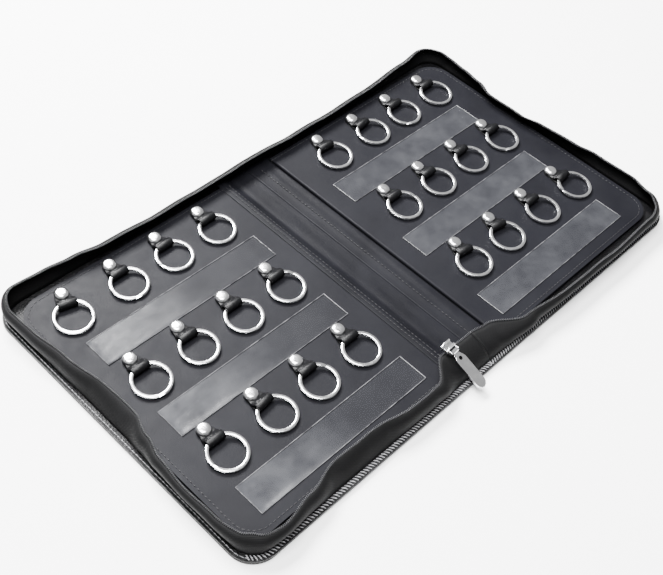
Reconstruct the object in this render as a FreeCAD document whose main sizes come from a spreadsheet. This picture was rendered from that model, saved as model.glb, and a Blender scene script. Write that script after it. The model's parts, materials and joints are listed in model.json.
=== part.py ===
import FreeCAD, Part
import math
import os
import Sketcher
from FreeCAD import Placement, Rotation, Vector

# A zip-around leather key organiser, lying open like a book.
# X runs across both pages, Y up the page along the spine, Z up.
# The origin is the centre of the spine's underside. Millimetres and degrees.

SIZES = [
    ("page_reach", 196, "spine centre to the fore edge of a cover"),
    ("cover_height", 222, "height of the covers along the spine"),
    ("cover_corner", 20, "corner radius of the covers"),
    ("fold_offset", 13.5, "spine centre to each fold line"),
    ("fold_gap", 0.4, "gap from a fold line to the pieces beside it"),
    ("skin", 1, "outer leather thickness"),
    ("cover_top", 3, "height of the finished cover, where the folds turn"),
    ("lining_skin", 0.4, "lining thickness"),
    ("binding_width", 4, "width of the turned edge round a cover"),
    ("board_slack", 0.3, "gap round a sealed board"),
    ("panel_reach", 188, "spine centre to the fore edge of a key panel"),
    ("panel_height", 203, "height of a key panel"),
    ("panel_corner", 12, "corner radius of a key panel"),
    ("left_panel_start", 21, "spine centre to the left key panel"),
    ("right_panel_start", 18, "spine centre to the right key panel"),
    ("panel_board", 2, "board thickness in a key panel"),
    ("panel_skin", 1.2, "leather thickness on a key panel"),
    ("first_column", 54.4, "spine centre to the first column of tabs"),
    ("column_pitch", 35, "distance between columns"),
    ("first_row", 92.6, "height of the top row of rivets"),
    ("row_pitch", 63, "distance between rows"),
    ("tab_width", 12, "width of a ring tab"),
    ("nose_radius", 5, "radius of a ring tab's rounded end"),
    ("strap", 2.2, "thickness of a tab's doubled strap"),
    ("loop_drop", 9.2, "rivet to the centre of the tab's loop"),
    ("loop_outer", 3.15, "outer radius of the tab's loop"),
    ("loop_inner", 2.05, "inner radius of the tab's loop"),
    ("rivet_radius", 4.6, "radius of a rivet's domed cap"),
    ("rivet_dome", 2.4, "height of a rivet's domed cap"),
    ("shank_radius", 1.5, "radius of a rivet's shank"),
    ("ring_radius", 11.2, "radius to the middle of a ring's wire"),
    ("ring_wire", 1.05, "radius of a ring's wire"),
    ("ring_drop", 10.3, "loop centre to ring centre"),
    ("ring_tilt", 4.8, "tilt of a ring that rests on the panel"),
    ("label_length", 130, "length of a label window"),
    ("label_height", 20.5, "height of a label window"),
    ("label_drop", 37.3, "rivet to the top of the label window below it"),
    ("label_film", 0.5, "thickness of a label window"),
    ("left_label_start", 40, "spine centre to the left label windows"),
    ("right_label_start", 33, "spine centre to the right label windows"),
    ("wall_start", 26.5, "spine centre to the ends of the gusset and zip"),
    ("wall_inset", 0.4, "cover edge to the foot of the gusset"),
    ("wall_skin", 1.5, "width of the gusset, measured level"),
    ("wall_top", 13, "height where the gusset ends and the zip begins"),
    ("fore_lean", 9, "how far the fore gusset leans in"),
    ("end_lean", 20.5, "how far the top and bottom gussets lean in beside the spine"),
    ("rim_taper", 4.5, "angle of the leaning rims to the top and bottom edges"),
    ("chain_corner", 12, "corner radius of the zip chain"),
    ("chain_width", 2, "thickness of the zip chain"),
    ("chain_rise", 2.9, "height of the zip chain"),
    ("zip_level", 16.5, "height where the two zip chains meet when closed"),
    ("tape_end_width", 20, "width of the zip tape's stitched ends"),
    ("tape_end_depth", 10, "depth of the zip tape's stitched ends"),
    ("tape_end_skin", 0.8, "thickness of the zip tape's stitched ends"),
    ("slider_length", 9, "length of the zip slider"),
    ("slider_rise", 3.4, "half the height of the slider's plates"),
    ("slider_plate", 1, "thickness of the slider's plates"),
    ("slider_slack", 0.6, "gap between the zip chain and a slider plate"),
    ("slider_centre", 20, "spine centre to the slider at rest"),
    ("wedge_half", 0.35, "half the thickness of the slider's wedge"),
    ("ear_reach", 2.6, "how far the slider's ears stand out"),
    ("ear_width", 1, "thickness of each slider ear"),
    ("ear_gap", 5, "gap between the slider's ears"),
    ("pin_radius", 0.7, "radius of the pin between the ears"),
    ("pin_reach", 1.8, "outer plate to the pin"),
    ("bore_radius", 0.8, "radius of the bore in the zip pull"),
    ("barrel_radius", 1.6, "radius of the zip pull's barrel"),
    ("barrel_length", 4.6, "length of the zip pull's barrel"),
    ("neck_width", 3.4, "width of the zip pull's neck"),
    ("pull_start", 2.6, "pin to the wide blade of the zip pull"),
    ("pull_length", 27, "pin to the tip of the zip pull"),
    ("pull_width", 7.5, "width of the zip pull's blade"),
    ("pull_thickness", 1.4, "thickness of the zip pull"),
    ("pull_slope", 25, "slope of the zip pull as it lies over the edge"),
]

COLUMNS = 4
ROWS = 3
HALVES = ("left", "right")
# Tabs that have turned a little on their rivets, anticlockwise, by (row, column).
SWIVELS = {
    "left": {(0, 3): -15, (2, 2): 6},
    "right": {(0, 0): -4, (0, 1): 6, (2, 0): -9, (2, 1): -10, (2, 3): 5},
}
VALUE_COLUMN = "B"
NOTE_COLUMN = "C"

doc = FreeCAD.newDocument("key_organiser")
sheet = doc.addObject("Spreadsheet::Sheet", "sizes")
subparts = []


# ---------------------------------------------------------------- helpers

def fill_sheet():
    """Write every driving dimension, with its alias and its meaning."""
    for line, (alias, value, note) in enumerate(SIZES, start=1):
        sheet.set(f"A{line}", alias)
        sheet.set(f"{VALUE_COLUMN}{line}", str(value))
        sheet.setAlias(f"{VALUE_COLUMN}{line}", alias)
        sheet.set(f"{NOTE_COLUMN}{line}", note)
    doc.recompute()


def named(text):
    """Turn bare aliases, written @alias, into references to the sheet."""
    return text.replace("@", "sizes.")


def bind(thing, **expressions):
    """Bind properties to sheet expressions; __ in a key stands for a dot."""
    for key, text in expressions.items():
        thing.setExpression(key.replace("__", "."), named(text))


def value(text):
    """The present value of a sheet expression."""
    return float(sheet.evalExpression(named(text)))


def keep(thing, label):
    """Give a finished sub-part its label and put it on the list."""
    thing.Label = label
    subparts.append(thing)
    return thing


def plane(body, role):
    """One of a body's own origin planes."""
    return next(item for item in body.Origin.OriginFeatures if item.Role == role)


def level_sketch(body, name, level):
    """A sketch on the body's XY plane, raised to a level."""
    sketch = body.newObject("Sketcher::SketchObject", name)
    sketch.AttachmentSupport = [(plane(body, "XY_Plane"), "")]
    sketch.MapMode = "FlatFace"
    bind(sketch, AttachmentOffset__Base__z=level)
    return sketch


def page_outline(body, name, level, start, reach, height, corner, taper=None):
    """A page shape: square at the spine side, two round corners at the fore edge.

    With a taper, the page grows higher from the spine towards the fore edge.
    """
    sketch = level_sketch(body, name, level)
    near, far = value(start), value(reach)
    near_half, radius = value(height) / 2, value(corner)
    growth = math.tan(math.radians(value(taper))) if taper else 0
    half = near_half + growth * (far - radius - near)
    corners = [
        Vector(near, -near_half, 0), Vector(far - radius, -half, 0),
        Vector(far, radius - half, 0), Vector(far, half - radius, 0),
        Vector(far - radius, half, 0), Vector(near, near_half, 0),
    ]
    quarter = math.pi / 2
    lower_centre = Vector(far - radius, radius - half, 0)
    upper_centre = Vector(far - radius, half - radius, 0)
    up = Vector(0, 0, 1)
    lower = Part.ArcOfCircle(Part.Circle(lower_centre, up, radius), -quarter, 0)
    upper = Part.ArcOfCircle(Part.Circle(upper_centre, up, radius), 0, quarter)
    pieces = [
        Part.LineSegment(corners[0], corners[1]), lower,
        Part.LineSegment(corners[2], corners[3]), upper,
        Part.LineSegment(corners[4], corners[5]),
        Part.LineSegment(corners[5], corners[0]),
    ]
    for piece in pieces:
        sketch.addGeometry(piece, False)
    page_constraints(sketch, start, reach, height, corner, taper)
    return sketch


def page_constraints(sketch, start, reach, height, corner, taper):
    """Join the page outline's pieces and bind its sizes to the sheet."""
    bottom, low_arc, fore, high_arc, top, spine_side = range(6)
    begin, end, centre = 1, 2, 3
    origin, x_axis = -1, -1
    rules = [
        ("Tangent", bottom, end, low_arc, begin), ("Tangent", low_arc, end, fore, begin),
        ("Tangent", fore, end, high_arc, begin), ("Tangent", high_arc, end, top, begin),
        ("Coincident", top, end, spine_side, begin),
        ("Coincident", spine_side, end, bottom, begin), ("Vertical", fore),
        ("Symmetric", bottom, begin, top, end, x_axis),
    ]
    if taper:
        rules.append(("Symmetric", bottom, end, top, begin, x_axis))
    else:
        rules += [("Horizontal", bottom), ("Horizontal", top), ("Equal", low_arc, high_arc)]
    for rule in rules:
        sketch.addConstraint(Sketcher.Constraint(*rule))
    measures = [
        (("DistanceX", origin, begin, bottom, begin), start),
        (("DistanceX", origin, begin, fore, begin), reach),
        (("DistanceY", bottom, begin, top, end), height),
        (("Radius", low_arc), corner),
    ]
    for rule, text in measures:
        index = sketch.addConstraint(Sketcher.Constraint(*rule, value(text)))
        sketch.setExpression(f"Constraints[{index}]", named(text))
    if taper:
        slant = Sketcher.Constraint("Angle", bottom, -math.radians(value(taper)))
        index = sketch.addConstraint(slant)
        sketch.setExpression(f"Constraints[{index}]", named(f"-{taper} * 1 deg"))


def padded(body, sketch, length):
    """Pad a sketch upward."""
    pad = body.newObject("PartDesign::Pad", sketch.Name + "_pad")
    pad.Profile = sketch
    bind(pad, Length=length)
    sketch.Visibility = False
    doc.recompute()
    return pad


def pocketed(body, sketch, length):
    """Cut upward from a sketch, and make sure that something was cut."""
    before = body.Shape.Volume
    pocket = body.newObject("PartDesign::Pocket", sketch.Name + "_pocket")
    pocket.Profile = sketch
    pocket.Reversed = True
    bind(pocket, Length=length)
    doc.recompute()
    if body.Shape.Volume >= before:
        raise RuntimeError(f"{pocket.Name} cuts nothing")
    return pocket


def page_body(half, name):
    """A body for one page; the left page is the right one turned half round."""
    body = doc.addObject("PartDesign::Body", f"{half}_{name}")
    turn = 180 if half == "left" else 0
    body.Placement = Placement(Vector(0, 0, 0), Rotation(Vector(0, 0, 1), turn))
    return keep(body, f"{half}_{name}")


def box(name, length, width, height, centre_x, low_y, low_z):
    """A box bound to the sheet, centred on centre_x."""
    made = doc.addObject("Part::Box", name)
    bind(made, Length=length, Width=width, Height=height)
    bind(made, Placement__Base__x=f"({centre_x}) - ({length}) / 2")
    bind(made, Placement__Base__y=low_y, Placement__Base__z=low_z)
    return made


def cylinder(name, radius, height, centre_y, low_z):
    """An upright cylinder bound to the sheet."""
    made = doc.addObject("Part::Cylinder", name)
    bind(made, Radius=radius, Height=height)
    bind(made, Placement__Base__y=centre_y, Placement__Base__z=low_z)
    return made


def cross_cylinder(name, radius, length, centre_x, centre_y, centre_z):
    """A cylinder lying along X, centred on centre_x."""
    made = doc.addObject("Part::Cylinder", name)
    made.Placement = Placement(Vector(0, 0, 0), Rotation(Vector(0, 1, 0), 90))
    bind(made, Radius=radius, Height=length)
    bind(made, Placement__Base__x=f"({centre_x}) - ({length}) / 2")
    bind(made, Placement__Base__y=centre_y, Placement__Base__z=centre_z)
    return made


def fused(name, *shapes):
    """Several shapes as one solid."""
    made = doc.addObject("Part::MultiFuse", name)
    made.Shapes = list(shapes)
    made.Refine = True
    return made


def cut(name, base, tool):
    """One shape with another taken away."""
    made = doc.addObject("Part::Cut", name)
    made.Base = base
    made.Tool = tool
    return made


def sign(half):
    """The side of the spine that a page lies on."""
    return -1 if half == "left" else 1


def grid():
    """The places of the tabs on a page, as (row, column), from the top spine side."""
    return [(row, column) for row in range(ROWS) for column in range(COLUMNS)]


def column_x(half, column):
    """The expression for a column's place."""
    return f"{sign(half)} * (@first_column + {column} * @column_pitch)"


def row_y(row):
    """The expression for a row's rivets."""
    return f"@first_row - {row} * @row_pitch"


def swivel(half, row, column):
    """How far a tab has turned on its rivet, in degrees."""
    return SWIVELS[half].get((row, column), 0)


# ---------------------------------------------------------------- covers

def make_cover(half):
    """The outer leather, the board sealed in it, the lining and the turned edge."""
    start = "@fold_offset + @fold_gap"
    leather = page_body(half, "cover_leather")
    outline = page_outline(leather, "leather_outline", "0", start,
                           "@page_reach", "@cover_height", "@cover_corner")
    padded(leather, outline, "@skin")

    inner_reach = "@page_reach - @binding_width"
    inner_height = "@cover_height - 2 * @binding_width"
    inner_corner = "@cover_corner - @binding_width"
    board = page_body(half, "cover_board")
    outline = page_outline(board, "board_outline", "@skin", f"{start} + @board_slack",
                           f"{inner_reach} - @board_slack", f"{inner_height} - 2 * @board_slack",
                           f"{inner_corner} - @board_slack")
    padded(board, outline, "@cover_top - @skin - @lining_skin")

    lining = page_body(half, "cover_lining")
    outline = page_outline(lining, "lining_outline", "@cover_top - @lining_skin", start,
                           inner_reach, inner_height, inner_corner)
    padded(lining, outline, "@lining_skin")

    binding = page_body(half, "edge_binding")
    outline = page_outline(binding, "binding_outline", "@skin", start,
                           "@page_reach", "@cover_height", "@cover_corner")
    padded(binding, outline, "@cover_top - @skin")
    inside = page_outline(binding, "binding_inside", "@skin", "@fold_offset - @binding_width",
                          inner_reach, inner_height, inner_corner)
    pocketed(binding, inside, "@cover_top - @skin")


def make_spine():
    """The spine's leather, board and lining, and the zip tape's stitched ends."""
    width = "2 * (@fold_offset - @fold_gap)"
    low = "-@cover_height / 2"
    leather = box("spine_skin", width, "@cover_height", "@skin", "0", low, "0")
    keep(leather, "spine_leather")
    board = box("spine_stiffener", f"{width} - 2 * @binding_width",
                "@cover_height - 2 * @binding_width", "@cover_top - @skin - @lining_skin",
                "0", f"{low} + @binding_width", "@skin")
    keep(board, "spine_board")
    lining = box("spine_inner", width, "@cover_height", "@lining_skin", "0", low,
                 "@cover_top - @lining_skin")
    keep(lining, "spine_lining")
    places = {"top": "@cover_height / 2 - @tape_end_depth", "bottom": low}
    for end, place in places.items():
        tape = box(f"{end}_tape", "@tape_end_width", "@tape_end_depth", "@tape_end_skin",
                   "0", place, "@cover_top")
        keep(tape, f"{end}_tape_end")


# ---------------------------------------------------------------- key panels

def drill_rivet_holes(body, half, level, depth):
    """Twelve shank holes through a panel layer, on the grid of tabs."""
    sketch = level_sketch(body, "shank_holes", level)
    turned_first = "-@first_row" if half == "left" else f"@first_row - {ROWS - 1} * @row_pitch"
    bind(sketch, AttachmentOffset__Base__x="@first_column - @column_pitch",
         AttachmentOffset__Base__y=f"{turned_first} - @row_pitch")
    up = Vector(0, 0, 1)
    for row, column in grid():
        steps_x, steps_y = column + 1, row + 1
        middle = Vector(steps_x * value("@column_pitch"), steps_y * value("@row_pitch"), 0)
        circle = sketch.addGeometry(Part.Circle(middle, up, value("@shank_radius")), False)
        measures = [
            (("DistanceX", -1, 1, circle, 3), f"{steps_x} * @column_pitch"),
            (("DistanceY", -1, 1, circle, 3), f"{steps_y} * @row_pitch"),
            (("Radius", circle), "@shank_radius"),
        ]
        for rule, text in measures:
            index = sketch.addConstraint(Sketcher.Constraint(*rule, value(text)))
            sketch.setExpression(f"Constraints[{index}]", named(text))
    pocketed(body, sketch, depth)


def make_panel(half):
    """The stiff leather-covered panel that carries the tabs."""
    layers = {
        "panel_board": ("@cover_top", "@panel_board"),
        "panel_leather": ("@cover_top + @panel_board", "@panel_skin"),
    }
    for name, (level, thickness) in layers.items():
        body = page_body(half, name)
        outline = page_outline(body, f"{name}_outline", level, f"@{half}_panel_start",
                               "@panel_reach", "@panel_height", "@panel_corner")
        padded(body, outline, thickness)
        drill_rivet_holes(body, half, level, thickness)


PANEL_TOP = "(@cover_top + @panel_board + @panel_skin)"


def make_labels(half):
    """Three clear label windows, one under each row of tabs."""
    centre = f"{sign(half)} * (@{half}_label_start + @label_length / 2)"
    windows = [
        box(f"{half}_window", "@label_length", "@label_height", "@label_film", centre,
            f"{row_y(row)} - @label_drop - @label_height", PANEL_TOP)
        for row in range(ROWS)
    ]
    group = doc.addObject("Part::Compound", f"{half}_windows")
    group.Links = windows
    keep(group, f"{half}_label_windows")


def tab_pattern():
    """One ring tab about its rivet: a doubled strap that ends in a rolled loop."""
    loop_z = f"{PANEL_TOP} + @loop_outer"
    strap = box("tab_strap", "@tab_width", "@loop_drop - @nose_radius", "@strap", "0",
                "-@loop_drop", PANEL_TOP)
    neck = box("tab_neck", "2 * @nose_radius", "@nose_radius", "@strap", "0", "-@nose_radius",
               PANEL_TOP)
    nose = cylinder("tab_nose", "@nose_radius", "@strap", "0", PANEL_TOP)
    roll = cross_cylinder("tab_roll", "@loop_outer", "@tab_width", "0", "-@loop_drop", loop_z)
    bore = cross_cylinder("tab_bore", "@loop_inner", "@tab_width", "0", "-@loop_drop", loop_z)
    shank_hole = cylinder("tab_hole", "@shank_radius", "@strap", "0", PANEL_TOP)
    holes = fused("tab_holes", bore, shank_hole)
    return cut("tab_pattern", fused("tab_body", strap, neck, nose, roll), holes)


def rivet_pattern():
    """One rivet about its own axis: a domed cap on a shank."""
    foot = "@cover_top"
    shank = cylinder("rivet_shank", "@shank_radius", f"{PANEL_TOP} + @strap - {foot}", "0", foot)
    ball = doc.addObject("Part::Sphere", "rivet_ball")
    ball_radius = "((@rivet_radius ^ 2 + @rivet_dome ^ 2) / (2 * @rivet_dome))"
    bind(ball, Radius=ball_radius,
         Placement__Base__z=f"{PANEL_TOP} + @strap + @rivet_dome - {ball_radius}")
    slab = cylinder("rivet_slab", "@rivet_radius", "@rivet_dome", "0", f"{PANEL_TOP} + @strap")
    cap = doc.addObject("Part::MultiCommon", "rivet_cap")
    cap.Shapes = [ball, slab]
    return fused("rivet_pattern", shank, cap)


def repeat_on_grid(pattern, half, label):
    """Copies of a pattern at every place of the grid, each a solid of its own."""
    copies = []
    for row, column in grid():
        copy = pattern.Shape.copy()
        copy.rotate(Vector(0, 0, 0), Vector(0, 0, 1), swivel(half, row, column))
        copy.translate(Vector(value(column_x(half, column)), value(row_y(row)), 0))
        copies.append(copy)
    group = doc.addObject("Part::Feature", label)
    group.Shape = Part.makeCompound(copies)
    keep(group, label)


def make_ring(half, row, column):
    """One key ring, hanging in its tab's loop and resting on the panel."""
    ring = doc.addObject("Part::Torus", f"ring_{half}")
    turn = swivel(half, row, column)
    tilted = Rotation(Vector(1, 0, 0), value("@ring_tilt"))
    ring.Placement = Placement(Vector(0, 0, 0), Rotation(Vector(0, 0, 1), turn) * tilted)
    reach = "(@loop_drop + @ring_drop * cos(@ring_tilt * 1 deg))"
    bind(ring, Radius1="@ring_radius", Radius2="@ring_wire",
         Placement__Base__x=f"{column_x(half, column)} + {reach} * sin({turn} * 1 deg)",
         Placement__Base__y=f"{row_y(row)} - {reach} * cos({turn} * 1 deg)",
         Placement__Base__z=f"{PANEL_TOP} + @loop_outer - @ring_drop * sin(@ring_tilt * 1 deg)")
    keep(ring, f"ring_{half}_row{row + 1}_col{column + 1}")


# ---------------------------------------------------------------- zip and gusset

def lofted(body, kind, name, low_sketch, high_sketch):
    """A ruled loft between two level outlines."""
    loft = body.newObject(kind, name)
    loft.Profile = low_sketch
    loft.Sections = [high_sketch]
    loft.Ruled = True
    doc.recompute()
    return loft


def gusset_outline(body, name, level, lean_share, start, shift):
    """The gusset's outline at one level; lean_share is 0 at its foot and 1 at its top."""
    reach = f"@page_reach - @wall_inset - {lean_share} * (@fore_lean - @wall_inset) - {shift}"
    depth = f"@wall_inset + {lean_share} * (@end_lean - @wall_inset) + {shift}"
    foot_corner = "@cover_corner - @wall_inset"
    corner = f"{foot_corner} + {lean_share} * (@chain_corner - ({foot_corner})) - {shift}"
    return page_outline(body, name, level, start, reach, f"@cover_height - 2 * ({depth})",
                        corner, "@rim_taper" if lean_share else None)


def make_gusset(half):
    """The leaning soft wall round three sides of a page."""
    body = page_body(half, "gusset_wall")
    foot = gusset_outline(body, "outer_foot", "@cover_top", 0, "@wall_start", "0")
    rim = gusset_outline(body, "outer_rim", "@wall_top", 1, "@wall_start", "0")
    lofted(body, "PartDesign::AdditiveLoft", "outside", foot, rim)
    before = body.Shape.Volume
    open_start = "@wall_start - @wall_skin"
    foot = gusset_outline(body, "inner_foot", "@cover_top", 0, open_start, "@wall_skin")
    rim = gusset_outline(body, "inner_rim", "@wall_top", 1, open_start, "@wall_skin")
    lofted(body, "PartDesign::SubtractiveLoft", "inside", foot, rim)
    if body.Shape.Volume >= before:
        raise RuntimeError("the gusset is not hollow")


def make_chain(half):
    """The zip chain along the gusset's rim."""
    body = page_body(half, "zip_chain")
    outer = gusset_outline(body, "chain_outer", "@wall_top", 1, "@wall_start", "0")
    padded(body, outer, "@chain_rise")
    inner = gusset_outline(body, "chain_inner", "@wall_top", 1,
                           "@wall_start - @chain_width", "@chain_width")
    pocketed(body, inner, "@chain_rise")


OUTER_PLATE = "(-@chain_width / 2 - @slider_slack)"
INNER_PLATE = "(@chain_width / 2 + @slider_slack)"
PIN_Y = f"({OUTER_PLATE} - @slider_plate - @pin_reach)"
SLIDER_Y = ("(@end_lean + @chain_width / 2 - @cover_height / 2"
            " + (@wall_start - @slider_centre) * tan(@rim_taper * 1 deg))")


def make_slider():
    """The zip slider: two plates joined by a thin wedge, and ears with the pull's pin.

    It is drawn about its own middle, along X, and then turned to follow the rim.
    """
    low = "@zip_level - @slider_rise"
    rise = "2 * @slider_rise"
    outer = box("slider_outer", "@slider_length", "@slider_plate", rise, "0",
                f"{OUTER_PLATE} - @slider_plate", low)
    inner = box("slider_inner", "@slider_length", "@slider_plate", rise, "0", INNER_PLATE, low)
    wedge = box("slider_wedge", "@slider_length", f"{INNER_PLATE} - {OUTER_PLATE}",
                "2 * @wedge_half", "0", OUTER_PLATE, "@zip_level - @wedge_half")
    ears = []
    for side in (-1, 1):
        centre = f"{side} * (@ear_gap + @ear_width) / 2"
        ears.append(box("slider_ear", "@ear_width", "@ear_reach", "2 * @barrel_radius", centre,
                        f"{OUTER_PLATE} - @slider_plate - @ear_reach",
                        "@zip_level - @barrel_radius"))
    pin = cross_cylinder("slider_pin", "@pin_radius", "@ear_gap + @ear_width", "0",
                         PIN_Y, "@zip_level")
    slider = fused("slider", outer, inner, wedge, pin, *ears)
    slider.Placement = Placement(Vector(0, 0, 0), Rotation(Vector(0, 0, 1), value("@rim_taper")))
    bind(slider, Placement__Base__x="-@slider_centre", Placement__Base__y=SLIDER_Y)
    keep(slider, "zip_slider")


def make_pull():
    """The zip pull, drawn level along -Y and then laid on its slope about the pin."""
    half_thickness = "@pull_thickness / 2"
    blade_end = "@pull_width / 2 - @pull_length"
    blade = box("pull_blade", "@pull_width", "@pull_length - @pull_start - @pull_width / 2",
                "@pull_thickness", "0", blade_end, f"-{half_thickness}")
    tip = cylinder("pull_tip", "@pull_width / 2", "@pull_thickness", blade_end,
                   f"-{half_thickness}")
    neck = box("pull_neck", "@neck_width", "@pull_start + @bore_radius", "@pull_thickness", "0",
               "-@pull_start - @bore_radius", f"-{half_thickness}")
    barrel = cross_cylinder("pull_barrel", "@barrel_radius", "@barrel_length", "0", "0", "0")
    bore = cross_cylinder("pull_bore", "@bore_radius", "@barrel_length", "0", "0", "0")
    pull = cut("pull", fused("pull_solid", blade, tip, neck, barrel), bore)
    turned = Rotation(Vector(0, 0, 1), value("@rim_taper"))
    sloped = Rotation(Vector(1, 0, 0), value("@pull_slope"))
    pull.Placement = Placement(Vector(0, 0, 0), turned * sloped)
    bind(pull, Placement__Base__x=f"-@slider_centre - {PIN_Y} * sin(@rim_taper * 1 deg)",
         Placement__Base__y=f"{SLIDER_Y} + {PIN_Y} * cos(@rim_taper * 1 deg)",
         Placement__Base__z="@zip_level")
    keep(pull, "zip_pull")


# ---------------------------------------------------------------- assembly

def build():
    fill_sheet()
    make_spine()
    for half in HALVES:
        make_cover(half)
        make_panel(half)
        make_labels(half)
        make_gusset(half)
        make_chain(half)
    tab = tab_pattern()
    rivet = rivet_pattern()
    doc.recompute()
    for half in HALVES:
        repeat_on_grid(tab, half, f"{half}_key_tabs")
        repeat_on_grid(rivet, half, f"{half}_tab_rivets")
        for row, column in grid():
            make_ring(half, row, column)
    make_slider()
    make_pull()
    doc.recompute()


def check():
    """Stop if anything in the document failed, or a sub-part isn't a sound solid."""
    for item in doc.Objects:
        if "Invalid" in item.State or "Error" in item.State:
            raise RuntimeError(f"{item.Name} failed: {item.State}")
    for item in subparts:
        if item.Shape.isNull() or not item.Shape.isValid() or not item.Shape.Solids:
            raise RuntimeError(f"{item.Label} is not a sound solid")


def export():
    """Write one STEP file for each sub-part."""
    os.makedirs("parts", exist_ok=True)
    for item in subparts:
        item.Shape.exportStep(f"parts/{item.Label}.step")


build()
check()
export()
print(len(subparts), "sub-parts written")
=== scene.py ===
import json
import math

import bmesh
import bpy
from mathutils import Matrix, Vector, noise


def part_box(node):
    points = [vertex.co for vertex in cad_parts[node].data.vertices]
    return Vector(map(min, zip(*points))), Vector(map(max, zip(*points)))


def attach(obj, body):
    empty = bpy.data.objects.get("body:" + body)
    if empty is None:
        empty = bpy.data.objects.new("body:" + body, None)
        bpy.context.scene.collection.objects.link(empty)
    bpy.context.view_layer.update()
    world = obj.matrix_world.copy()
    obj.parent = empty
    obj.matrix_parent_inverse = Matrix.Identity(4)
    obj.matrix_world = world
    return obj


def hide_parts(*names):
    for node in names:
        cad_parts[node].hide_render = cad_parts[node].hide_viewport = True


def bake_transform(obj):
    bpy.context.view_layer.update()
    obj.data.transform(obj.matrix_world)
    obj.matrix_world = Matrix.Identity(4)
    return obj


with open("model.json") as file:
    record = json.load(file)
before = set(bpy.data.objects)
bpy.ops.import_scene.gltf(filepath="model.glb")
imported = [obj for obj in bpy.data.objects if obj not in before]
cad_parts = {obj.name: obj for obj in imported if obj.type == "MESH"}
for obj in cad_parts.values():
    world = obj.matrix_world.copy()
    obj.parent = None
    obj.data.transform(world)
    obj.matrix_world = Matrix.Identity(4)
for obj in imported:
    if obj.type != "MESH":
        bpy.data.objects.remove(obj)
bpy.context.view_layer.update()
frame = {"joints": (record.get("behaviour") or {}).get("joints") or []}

MM = 0.001
ROWS = 3
COLUMNS = 4
SIDES = {"left": -1, "right": 1}


# ---------------- sizes from the frame, in mm

def box_mm(node):
    """Lowest and highest corner of a CAD node, in millimetres."""
    low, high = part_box(node)
    return low / MM, high / MM


def joint_named(name):
    """A joint of the frame."""
    return next(joint for joint in frame["joints"] if joint["name"] == name)


def joint_mm(name):
    """Place of a joint's axis, in millimetres."""
    return Vector(joint_named(name)["pos_m"]) / MM


def joint_turn(name):
    """How far a level joint axis is turned from the X axis, in radians."""
    axis = joint_named(name)["axis"]
    return math.atan2(axis[1], axis[0])


LEATHER_HIGH = box_mm("right_cover_leather")[1]
REACH = LEATHER_HIGH.x
HALF = LEATHER_HIGH.y
COVER_TOP = box_mm("right_edge_binding")[1].z
CORNER = 16.5
FOLD = joint_mm("cover_fold").x
PANEL_LOW, PANEL_HIGH = box_mm("right_panel_leather")
PANEL_TOP = PANEL_HIGH.z
PANEL_CORNER = 17.0
PANEL_ROUND = 1.3
PANEL_SEAM_INSET = 3.0
PANEL_START = {"left": -box_mm("left_panel_leather")[1].x, "right": PANEL_LOW.x}
PIN = joint_mm("pull_swing")
ZIP_TURN = joint_turn("pull_swing")


# ---------------- mesh helpers

# Angles over which an edge is shown sharp, in degrees.
SHARP = 40.0
SHARP_BEVELLED = 50
SHARP_TURNED = 60
SMOOTH = 180
# Points of a mesh closer than this are merged, in millimetres.
WELD = 0.002


def finish_piece(obj, material, body=None, replaces=(), blend=None):
    """Give a piece its material and the body it moves with; a piece given a blend instead has its
    place baked into its mesh, with no body, and the blend's contents are not used. Hide the nodes
    it stands for.
    """
    obj.data.materials.clear()
    obj.data.materials.append(material)
    if blend:
        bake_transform(obj)
    else:
        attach(obj, body)
    if replaces:
        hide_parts(*replaces)


def piece(name, points, faces, sharp=SHARP):
    """A mesh object from points in millimetres."""
    mesh = bpy.data.meshes.new(name)
    mesh.from_pydata([Vector(point) * MM for point in points], [], faces)
    return link_mesh(name, mesh, sharp)


def show_mesh(name, mesh, sharp=SHARP):
    """An object of a mesh in the scene, smooth but for its sharp edges."""
    mesh.shade_smooth()
    mesh.set_sharp_from_angle(angle=math.radians(sharp))
    obj = bpy.data.objects.new(name, mesh)
    bpy.context.scene.collection.objects.link(obj)
    return obj


def link_mesh(name, mesh, sharp=SHARP):
    """Show a mesh with its points merged and its faces pointing outward."""
    work = bmesh.new()
    work.from_mesh(mesh)
    bmesh.ops.remove_doubles(work, verts=work.verts, dist=WELD * MM)
    bmesh.ops.recalc_face_normals(work, faces=work.faces)
    work.to_mesh(mesh)
    work.free()
    return show_mesh(name, mesh, sharp)


def lattice_faces(rows, columns, start=0, closed=False):
    """Quads between the points of a rows by columns lattice, closed across or open."""
    faces = []
    for row in range(rows - 1):
        for column in range(columns if closed else columns - 1):
            here, after = start + row * columns, start + (row + 1) * columns
            beside = (column + 1) % columns
            faces.append((here + column, here + beside, after + beside, after + column))
    return faces


def lattice(name, rows, closed=False, sharp=SHARP):
    """A mesh through a lattice of points, given as rows of equal length."""
    points = [point for row in rows for point in row]
    faces = lattice_faces(len(rows), len(rows[0]), 0, closed)
    return piece(name, points, faces, sharp)


def tube_lattice(name, rows):
    """A closed tube of cross sections with a cap at each end."""
    count = len(rows[0])
    points = [point for row in rows for point in row]
    faces = lattice_faces(len(rows), count, 0, True)
    faces.append(tuple(reversed(range(count))))
    faces.append(tuple(range((len(rows) - 1) * count, len(rows) * count)))
    return piece(name, points, faces)


def join(name, objects):
    """Several mesh objects as one, with their transforms applied."""
    work = bmesh.new()
    for obj in objects:
        mesh = obj.data.copy()
        mesh.transform(obj.matrix_world)
        work.from_mesh(mesh)
        bpy.data.meshes.remove(mesh)
        bpy.data.objects.remove(obj)
    mesh = bpy.data.meshes.new(name)
    work.to_mesh(mesh)
    work.free()
    return show_mesh(name, mesh)


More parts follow.
